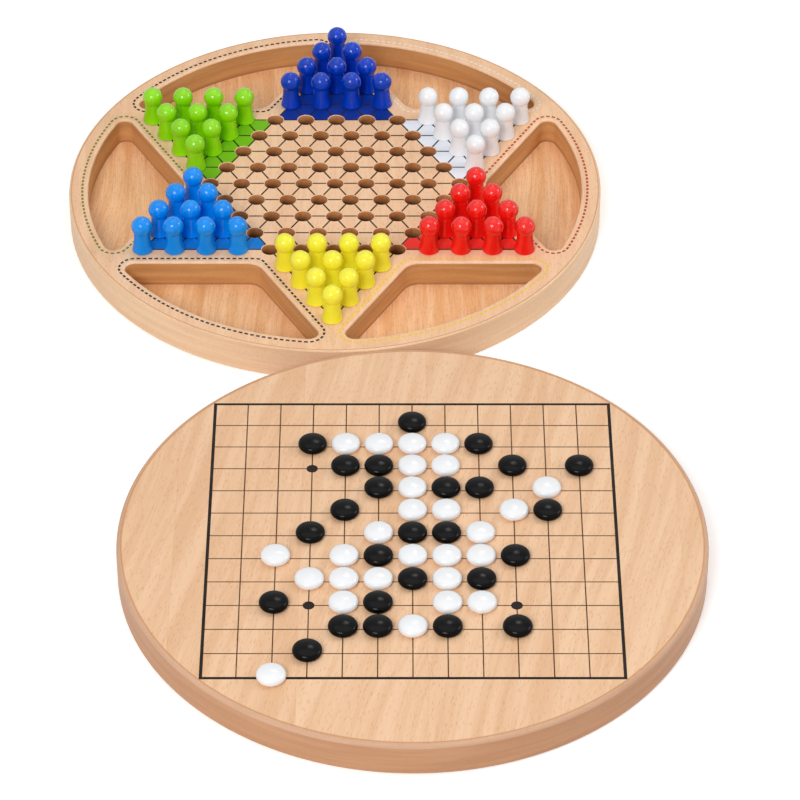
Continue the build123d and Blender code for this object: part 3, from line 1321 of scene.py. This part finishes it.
@dataclass(frozen=True)
class PegSet:
    """Sixty turned pegs, a row of a star's point to each piece."""

    tray: Disc = Disc("star_tray_top")
    rows: int = 4
    head_radius: float = 5.5
    head_steps: int = 20
    neck_radius: float = 4.25
    skirt_radius: float = 5.6
    skirt_round: float = 0.8
    skirt_steps: int = 5
    sweep_radius: float = 45.0
    sweep_steps: int = 8
    spigot_radius: float = 4.2
    spigot_chamfer: float = 0.6
    lean_limit: float = 0.7
    segments: int = 44
    seed: int = 7

    def profile(self, height: float, spigot: float) -> list[Run]:
        """The peg's outline, from the foot of its spigot to its crown.

        The hollow side is an arc whose centre lies outside the peg: from the middle of the chord
        between skirt and neck, outwards by the root of the sweep squared less half the chord
        squared.

        Args:
            height: Height of the crown above the tray.
            spigot: Length of the spigot below it.

        Returns:
            The runs of the profile.
        """
        centre = height - self.head_radius
        rise = math.sqrt(self.head_radius**2 - self.neck_radius**2)
        ends = np.array(
            [[self.skirt_radius, self.skirt_round], [self.neck_radius, centre - rise]]
        )
        chord = ends[1] - ends[0]
        length = float(np.linalg.norm(chord))
        away = np.array([chord[1], -chord[0]]) / length
        hub = ends.mean(axis=0) + away * math.sqrt(self.sweep_radius**2 - length**2 / 4)
        from_hub = ends - hub
        start, end = np.degrees(np.arctan2(from_hub[:, 1], from_hub[:, 0])) % 360
        below = -math.degrees(math.asin(rise / self.head_radius))
        foot, tip = self.skirt_radius - self.skirt_round, self.spigot_radius - self.spigot_chamfer
        shoulder = (self.spigot_radius, self.spigot_chamfer - spigot)
        return [
            straight((0.0, -spigot), (tip, -spigot)),
            straight((tip, -spigot), shoulder),
            straight(shoulder, (self.spigot_radius, 0.0)),
            straight((self.spigot_radius, 0.0), (foot, 0.0)),
            bend((foot, self.skirt_round), self.skirt_round, -90, 0, self.skirt_steps),
            bend(tuple(hub), self.sweep_radius, start, end, self.sweep_steps, out=-1.0),
            bend((0.0, centre), self.head_radius, below, 90, self.head_steps),
        ]

    def build(self) -> None:
        """Builds each row, every peg leaning as little as the play of its spigot allows."""
        chance = np.random.default_rng(self.seed)
        top = self.tray.top
        for colour in PegColour:
            paint = PAINTS[colour].material(f"{colour.value}_gloss_paint")
            for row in range(1, self.rows + 1):
                node = f"{colour.value}_pegs_row_{row}"
                low, high = Disc(node).box
                places = crowns(node)
                angle = np.radians(self.lean_limit) * chance.uniform(-1, 1, (len(places), 2))
                shell, profile = Shell(), self.profile(high[2] - top, top - low[2])
                turned(shell, profile, lifted(places, top), self.segments, lean=leaning(angle))
                piece = shell.build(f"{node}_turned", [paint])
                finished(piece, node, f"{colour.value}_paint", node)


@dataclass(frozen=True)
class GridBoard:
    """The board for five in a row, with its printed grid."""

    body: str = "five_row_board"
    disc: Disc = Disc("five_row_board")
    edge_round: float = 2.0
    edge_steps: int = 8
    crease_inset: float = 0.2  # from where the rounding starts to its thin darker line
    segments: int = 360
    side: float = 200.0
    lines: int = 13
    line_width: float = 0.6
    border_width: float = 1.6
    grid_height: float = 0.03
    dot_cells: tuple[tuple[int, int], ...] = ((3, 3), (9, 3), (3, 9), (9, 9), (6, 6))
    dot_radius: float = 2.85
    dot_height: float = 0.05
    dot_segments: int = 40

    def build_board(self, materials: Sequence[Material]) -> None:
        """Builds the board: two flat faces, a rim, and its two rounded edges.

        Args:
            materials: Its finishes, in the order of BoardFinish.
        """
        shell, radius, top = Shell(), self.disc.radius, self.disc.top
        round_, steps = self.edge_round, self.edge_steps
        edge, side_top = radius - round_, top - round_
        rim = [
            bend((edge, round_), round_, -90, 0, steps),
            straight((radius, round_), (radius, side_top)),
        ]
        parts = (
            ([straight((0.0, 0.0), (edge, 0.0))], BoardFinish.FACE),
            (rim, BoardFinish.RIM),
            ([bend((edge, side_top), round_, 0, 90, steps)], BoardFinish.ROUNDING),
            ([straight((edge, top), (0.0, top))], BoardFinish.FACE),
        )
        for runs, finish in parts:
            turned(shell, runs, self.disc.axis, self.segments, finish)
        piece = shell.build("grid_board", materials)
        finished(piece, self.body, "board_wood", self.disc.node)

    def print_grid(self, inks: Sequence[Material]) -> None:
        """Prints the grid as one film.

        The edges of all lines, in order, cut the square into a chequer of bands. A cell of it is
        inked where its column or its row is a line's band, and wears the border's ink where that
        band is an outermost one.

        Args:
            inks: Its inks, in the order of GridInk.
        """
        middles = np.linspace(-self.side / 2, self.side / 2, self.lines)
        halves = np.full(self.lines, self.line_width / 2)
        halves[[0, -1]] = self.border_width / 2
        cuts = np.stack([middles - halves, middles + halves], axis=-1).ravel()
        x, y = np.meshgrid(cuts, cuts)
        points = np.stack([x.ravel(), y.ravel()], axis=-1) + self.disc.centre
        bands = np.arange(len(cuts) - 1)
        inked, outer = bands % 2 == 0, (bands == 0) | (bands == bands[-1])
        held = inked[:, None] | inked
        border = np.where(outer[:, None] | outer, GridInk.BORDER, GridInk.LINE)
        triangles = halved(np.arange(len(points)).reshape(x.shape))[held].reshape(-1, 3)
        shell, top = Shell(), self.disc.top
        film(shell, points, triangles, top, top + self.grid_height, np.repeat(border[held], 2))
        finished(shell.build("printed_grid", inks), self.body, None)

    def print_dots(self, ink: Material) -> None:
        """Prints the five dots that help players find their way.

        Args:
            ink: The ink.
        """
        step = self.side / (self.lines - 1)
        places = np.array(self.dot_cells) * step - self.side / 2 + self.disc.centre
        radius, high = self.dot_radius, self.dot_height
        outline = [
            straight((0.0, 0.0), (radius, 0.0)),
            straight((radius, 0.0), (radius, high)),
            straight((radius, high), (0.0, high)),
        ]
        shell = Shell()
        turned(shell, outline, lifted(places, self.disc.top), self.dot_segments)
        finished(shell.build("printed_dots", [ink]), self.body, None)

    def build(self) -> None:
        """Builds the board and its print."""
        face = WoodFinish(
            (0.90, 0.60, 0.38),
            (0.80, 0.495, 0.29),
            fleck=(0.57, 0.24, 0.085),
            fleck_strength=0.40,
            fleck_size=(0.7, 4.5),
            grain_turn=12.0,
            stave_width=62.0,
            stave_shift=34.0,
            crease_centre=self.disc.centre,
            crease_radius=self.disc.radius - self.edge_round - self.crease_inset,
        )
        rim = WoodFinish((0.62, 0.33, 0.178), (0.555, 0.275, 0.142), streak_pace=LAYERED)
        rounding = WoodFinish((0.69, 0.43, 0.28), (0.62, 0.36, 0.225), streak_pace=LAYERED)
        self.build_board(
            [
                face.material("board_face_beech"),
                rim.material("board_rim_beech"),
                rounding.material("board_rounding_beech"),
            ]
        )
        self.print_grid([GRID_INK.material("grid_ink"), BORDER_INK.material("border_ink")])
        self.print_dots(DOT_INK.material("dot_ink"))


@dataclass(frozen=True)
class StoneSet:
    """The stones that lie on the board, those of one colour on one line to each piece."""

    board: Disc = Disc("five_row_board")
    radius: float = 7.25
    edge_radius: float = 2.2
    edge_steps: int = 14
    dome_steps: int = 8
    segments: int = 48
    black_lines: tuple[int, ...] = tuple(range(1, 12))
    white_lines: tuple[int, ...] = (*range(2, 11), 12)

    def profile(self, height: float) -> list[Run]:
        """A stone's outline: a flat foot, a round edge, and a shallow dome that the edge touches.

        The dome's radius is the one at which its arc through the crown touches the edge's arc:
        (flat squared + rise squared - edge squared) over twice (rise - edge), where flat is the
        foot's radius and rise is the height less the edge's radius.

        Args:
            height: The stone's height.

        Returns:
            The runs of the profile.
        """
        flat, rise = self.radius - self.edge_radius, height - self.edge_radius
        dome = (flat**2 + rise**2 - self.edge_radius**2) / (2 * (rise - self.edge_radius))
        meeting = 90 - math.degrees(math.asin(flat / (dome - self.edge_radius)))
        return [
            straight((0.0, 0.0), (flat, 0.0)),
            bend((flat, self.edge_radius), self.edge_radius, -90, meeting, self.edge_steps),
            bend((0.0, height - dome), dome, meeting, 90, self.dome_steps),
        ]

    def build(self) -> None:
        """Builds each line's stones where the frame has them."""
        top = self.board.top
        sides = ((StoneColour.BLACK, self.black_lines), (StoneColour.WHITE, self.white_lines))
        for colour, lines in sides:
            gloss = STONES[colour].material(f"{colour.value}_stone_gloss")
            for line in lines:
                node = f"{colour.value}_stones_line_{line}"
                shell, profile = Shell(), self.profile(Disc(node).top - top)
                turned(shell, profile, lifted(crowns(node), top), self.segments)
                piece = shell.build(f"{node}_polished", [gloss])
                finished(piece, node, f"{colour.value}_stone", node)


# Surroundings


@dataclass(frozen=True)
class Softbox:
    """A rectangular lamp that faces the middle of the set; lengths in metres, power in watts."""

    name: str
    place: Triple
    size: Pair
    power: float

    def hang(self) -> None:
        """Hangs the lamp in the scene."""
        data = bpy.data.lights.new(self.name, "AREA")
        data.shape, data.size, data.size_y = "RECTANGLE", *self.size
        data.energy = self.power
        lamp = linked(self.name, data)
        lamp.location = self.place
        lamp.rotation_euler = Vector(self.place).to_track_quat("Z", "Y").to_euler()


@dataclass(frozen=True)
class Studio:
    """A white studio: a plain floor, soft lamps, and a camera in front.

    Lengths are in metres, and the camera's focal length and sensor in millimetres.
    The floor adds a little light of its own: floor_glow up to glow_start from the middle, and
    more with the distance, up to far_glow at glow_end, since less of the lamps' light gets there.
    """

    white: Colour = (1.0, 1.0, 1.0)
    world_light: float = 0.27
    floor_colour: Colour = (0.88, 0.88, 0.88)
    floor_roughness: float = 0.9
    floor_size: float = 12.0
    floor_level: float = -0.0002
    floor_glow: float = 0.36
    glow_start: float = 0.35
    glow_end: float = 2.4
    far_glow: float = 0.9
    elevation: float = 40.0
    distance: float = 2.0
    focal: float = 175.5
    sensor: float = 36.0
    clip: Pair = (0.05, 50.0)
    aim: Triple = (0.0147, -0.032, 0.012)
    softboxes: tuple[Softbox, ...] = (
        Softbox("overhead_softbox", (0.05, 0.3, 2.2), (2.2, 1.35), 9.0),
        Softbox("right_softbox", (1.5, 0.2, 0.95), (0.6, 0.6), 7.0),
        Softbox("front_softbox", (-0.568, -1.56, 1.443), (0.82, 0.82), 27.0),
        Softbox("rear_softbox", (0.19, 1.09, 1.42), (0.3, 0.3), 2.2),
    )

    def set_camera(self) -> None:
        """Looks along +Y from above, at the photograph's elevation."""
        data = bpy.data.cameras.new("camera")
        data.lens, data.sensor_width = self.focal, self.sensor
        data.clip_start, data.clip_end = self.clip
        camera = linked("camera", data)
        rise = math.radians(self.elevation)
        back = Vector((0.0, -math.cos(rise), math.sin(rise)))
        camera.location = Vector(self.aim) + back * self.distance
        camera.rotation_euler = (-back).to_track_quat("-Z", "Y").to_euler()
        bpy.context.scene.camera = camera

    def seen(self, tree: NodeTree) -> Socket:
        """Tells whether the camera, a gloss or a clear material sends the ray.

        Args:
            tree: The tree that asks.

        Returns:
            1 if one of them does, and otherwise 0.
        """
        path = tree.add("LightPath")
        shown = tree.math("MAXIMUM", path["Is Camera Ray"], path["Is Glossy Ray"])
        return tree.math("MAXIMUM", shown, path["Is Transmission Ray"])

    def light_world(self) -> None:
        """Lights all round with an even white, and shows as plain white."""
        world = bpy.data.worlds.new("studio")
        bpy.context.scene.world = world
        world.use_nodes = True
        tree, shade = NodeTree(world.node_tree), world.node_tree.nodes["Background"]
        strength = tree.band(self.seen(tree), 0.0, 1.0, self.world_light, 1.0, "LINEAR")
        tree.put(shade.inputs["Color"], self.white)
        tree.put(shade.inputs["Strength"], strength)

    def lay_floor(self) -> None:
        """Lays a white floor that keeps the object's shadow."""
        tree = Surface("studio_floor")
        away = tree.vector("LENGTH", tree.place)
        near, far = self.glow_start / MM, self.glow_end / MM
        glow = tree.band(away, near, far, self.floor_glow, self.far_glow, "LINEAR")
        shown = tree.math("MULTIPLY", self.seen(tree), glow)
        tree.coat(self.floor_colour, self.floor_roughness, specular=0.0)
        tree.dress({"Emission Color": self.white, "Emission Strength": shown})
        half = self.floor_size / 2
        corners = ((-half, -half), (half, -half), (half, half), (-half, half))
        mesh = bpy.data.meshes.new("studio_floor")
        mesh.from_pydata([(*corner, self.floor_level) for corner in corners], [], [(0, 1, 2, 3)])
        mesh.materials.append(tree.material)
        sheet = linked("studio_floor", mesh)

    def build(self) -> None:
        """Sets up the camera, the lamps and the floor."""
        bpy.context.scene.view_settings.view_transform = "Standard"
        self.set_camera()
        self.light_world()
        for softbox in self.softboxes:
            softbox.hang()
        self.lay_floor()


def main() -> None:
    """Builds the set, piece by piece."""
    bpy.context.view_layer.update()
    Studio().build()
    StarTray().build()
    PegSet().build()
    GridBoard().build()
    StoneSet().build()


if __name__ == "__main__":
    logging.basicConfig(level=logging.INFO, format="%(message)s")
    main()
